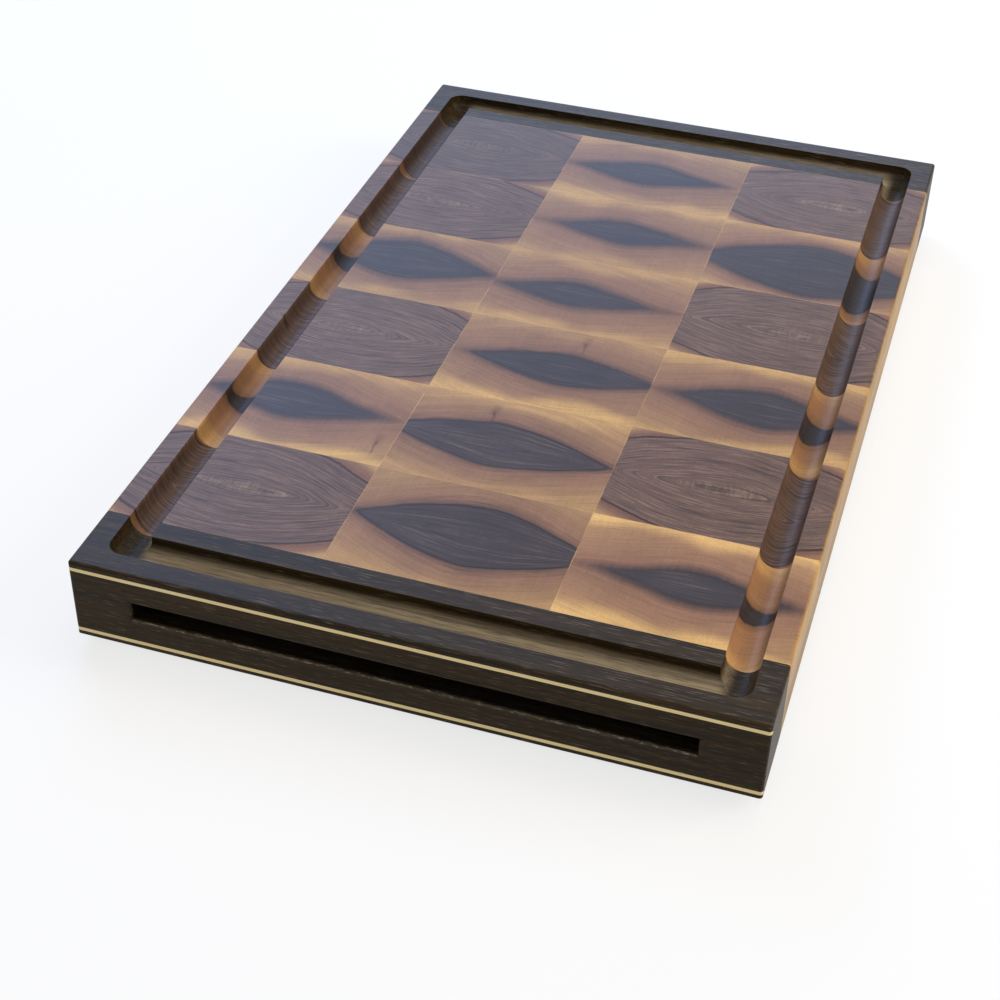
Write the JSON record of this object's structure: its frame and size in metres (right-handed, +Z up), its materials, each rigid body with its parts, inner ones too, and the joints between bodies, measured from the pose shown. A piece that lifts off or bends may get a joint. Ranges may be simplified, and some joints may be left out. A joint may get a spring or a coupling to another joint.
{
  "type": "cutting board with drawer trays",
  "caption": "Thick end-grain cutting board with a juice groove, dark end rails with pale inlay lines, and shallow steel trays that slide out of a flat slot in each end.",
  "frame": {"origin": "on the surface that the board stands on, under the middle of the board", "axes": "+X to the right seen from the front end, +Y along the board towards its rear end, +Z up; the front end faces -Y"},
  "size_m": [0.4, 0.64, 0.061],
  "materials": {
    "end_grain": "oiled end grain, dark brown hearts in tan sapwood",
    "side_wood": "oiled long grain",
    "dark_wood": "oiled, fine-streaked, near black",
    "pale_inlay": "oiled, pale and even",
    "tray_steel": "brushed",
    "foot_rubber": "matt moulded",
    "screw_steel": "plain bright"
  },
  "bodies": {
    "board": {"base_block_left_1": "end_grain", "top_block_left_1": "end_grain", "base_block_left_2": "end_grain", "top_block_left_2": "end_grain", "base_block_left_3": "end_grain", "top_block_left_3": "end_grain", "base_block_left_4": "end_grain", "top_block_left_4": "end_grain", "base_block_left_5": "end_grain", "top_block_left_5": "end_grain", "base_block_left_6": "end_grain", "top_block_left_6": "end_grain", "base_block_centre_1": "end_grain", "top_block_centre_1": "end_grain", "base_block_centre_2": "end_grain", "top_block_centre_2": "end_grain", "base_block_centre_3": "end_grain", "top_block_centre_3": "end_grain", "base_block_centre_4": "end_grain", "top_block_centre_4": "end_grain", "base_block_centre_5": "end_grain", "top_block_centre_5": "end_grain", "base_block_centre_6": "end_grain", "top_block_centre_6": "end_grain", "base_block_right_1": "end_grain", "top_block_right_1": "end_grain", "base_block_right_2": "end_grain", "top_block_right_2": "end_grain", "base_block_right_3": "end_grain", "top_block_right_3": "end_grain", "base_block_right_4": "end_grain", "top_block_right_4": "end_grain", "base_block_right_5": "end_grain", "top_block_right_5": "end_grain", "base_block_right_6": "end_grain", "top_block_right_6": "end_grain", "bay_spacer_left": "side_wood", "bay_spacer_right": "side_wood", "front_top_rail": "dark_wood", "front_base_rail": "dark_wood", "front_end_spacer_left": "dark_wood", "front_end_spacer_right": "dark_wood", "front_inlay_upper": "pale_inlay", "front_inlay_lower": "pale_inlay", "rear_top_rail": "dark_wood", "rear_base_rail": "dark_wood", "rear_end_spacer_left": "dark_wood", "rear_end_spacer_right": "dark_wood", "rear_inlay_upper": "pale_inlay", "rear_inlay_lower": "pale_inlay", "tray_stop_bar": "dark_wood", "rubber_feet": "foot_rubber", "foot_screws": "screw_steel"},
    "front_tray": {"front_tray": "tray_steel"},
    "rear_tray": {"rear_tray": "tray_steel"}
  },
  "joints": [
    {"name": "front_tray_slide", "type": "slide", "parent": "board", "child": "front_tray", "axis": [0, -1, 0], "range_m": [0, 0.24]},
    {"name": "rear_tray_slide", "type": "slide", "parent": "board", "child": "rear_tray", "axis": [0, 1, 0], "range_m": [0, 0.24]}
  ]
}
